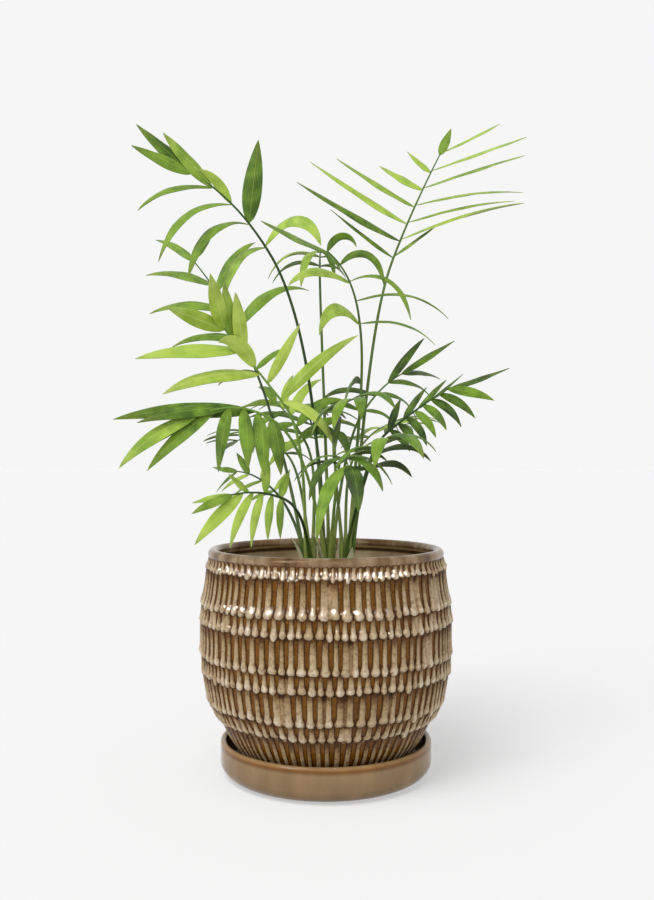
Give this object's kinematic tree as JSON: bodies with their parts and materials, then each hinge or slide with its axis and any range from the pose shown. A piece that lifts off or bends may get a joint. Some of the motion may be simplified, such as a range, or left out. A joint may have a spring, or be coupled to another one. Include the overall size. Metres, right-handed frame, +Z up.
{
  "type": "potted parlour palm",
  "caption": "Parlour palm with arching feathered fronds on slender green stalks, growing in a rounded glazed pot with rows of drops, on a saucer.",
  "frame": {"origin": "centre of the saucer's flat underside", "axes": "+Z up along the pot's axis, the plant's front looks along -Y, +X to the right in the picture"},
  "size_m": [0.304, 0.2878, 0.491],
  "materials": {
    "pot_glaze": "glossy reactive glaze, pale taupe on the drops and amber brown in the grooves",
    "saucer_glaze": "glossy taupe brown glaze with an amber rim",
    "potting_soil": "dark, moist peat and bark",
    "cane": "smooth green cane with pale sheaths",
    "stalk": "smooth green stalk",
    "leaf": "satin green leaf"
  },
  "bodies": {
    "root": {"saucer": "saucer_glaze", "pot": "pot_glaze", "soil": "potting_soil", "cane_centre": "cane", "cane_left": "cane", "cane_right": "cane", "frond_back": "leaf", "frond_back_left": "leaf", "frond_back_right": "leaf", "frond_bright_left": "leaf", "frond_front": "leaf", "frond_front_right": "leaf", "frond_inner_right": "leaf", "frond_left_behind": "leaf", "frond_lower_left": "leaf", "frond_lower_right": "leaf", "frond_middle": "leaf", "frond_middle_left": "leaf", "frond_right_behind": "leaf", "frond_rim_left": "leaf", "frond_rim_left_behind": "leaf", "frond_top_centre": "leaf", "frond_upper_left": "leaf", "frond_upper_right": "leaf", "stalk_back": "stalk", "stalk_back_left": "stalk", "stalk_back_right": "stalk", "stalk_bright_left": "stalk", "stalk_front": "stalk", "stalk_front_right": "stalk", "stalk_inner_right": "stalk", "stalk_left_behind": "stalk", "stalk_lower_left": "stalk", "stalk_lower_right": "stalk", "stalk_middle": "stalk", "stalk_middle_left": "stalk", "stalk_right_behind": "stalk", "stalk_rim_left": "stalk", "stalk_rim_left_behind": "stalk", "stalk_top_centre": "stalk", "stalk_upper_left": "stalk", "stalk_upper_right": "stalk"}
  },
  "joints": []
}
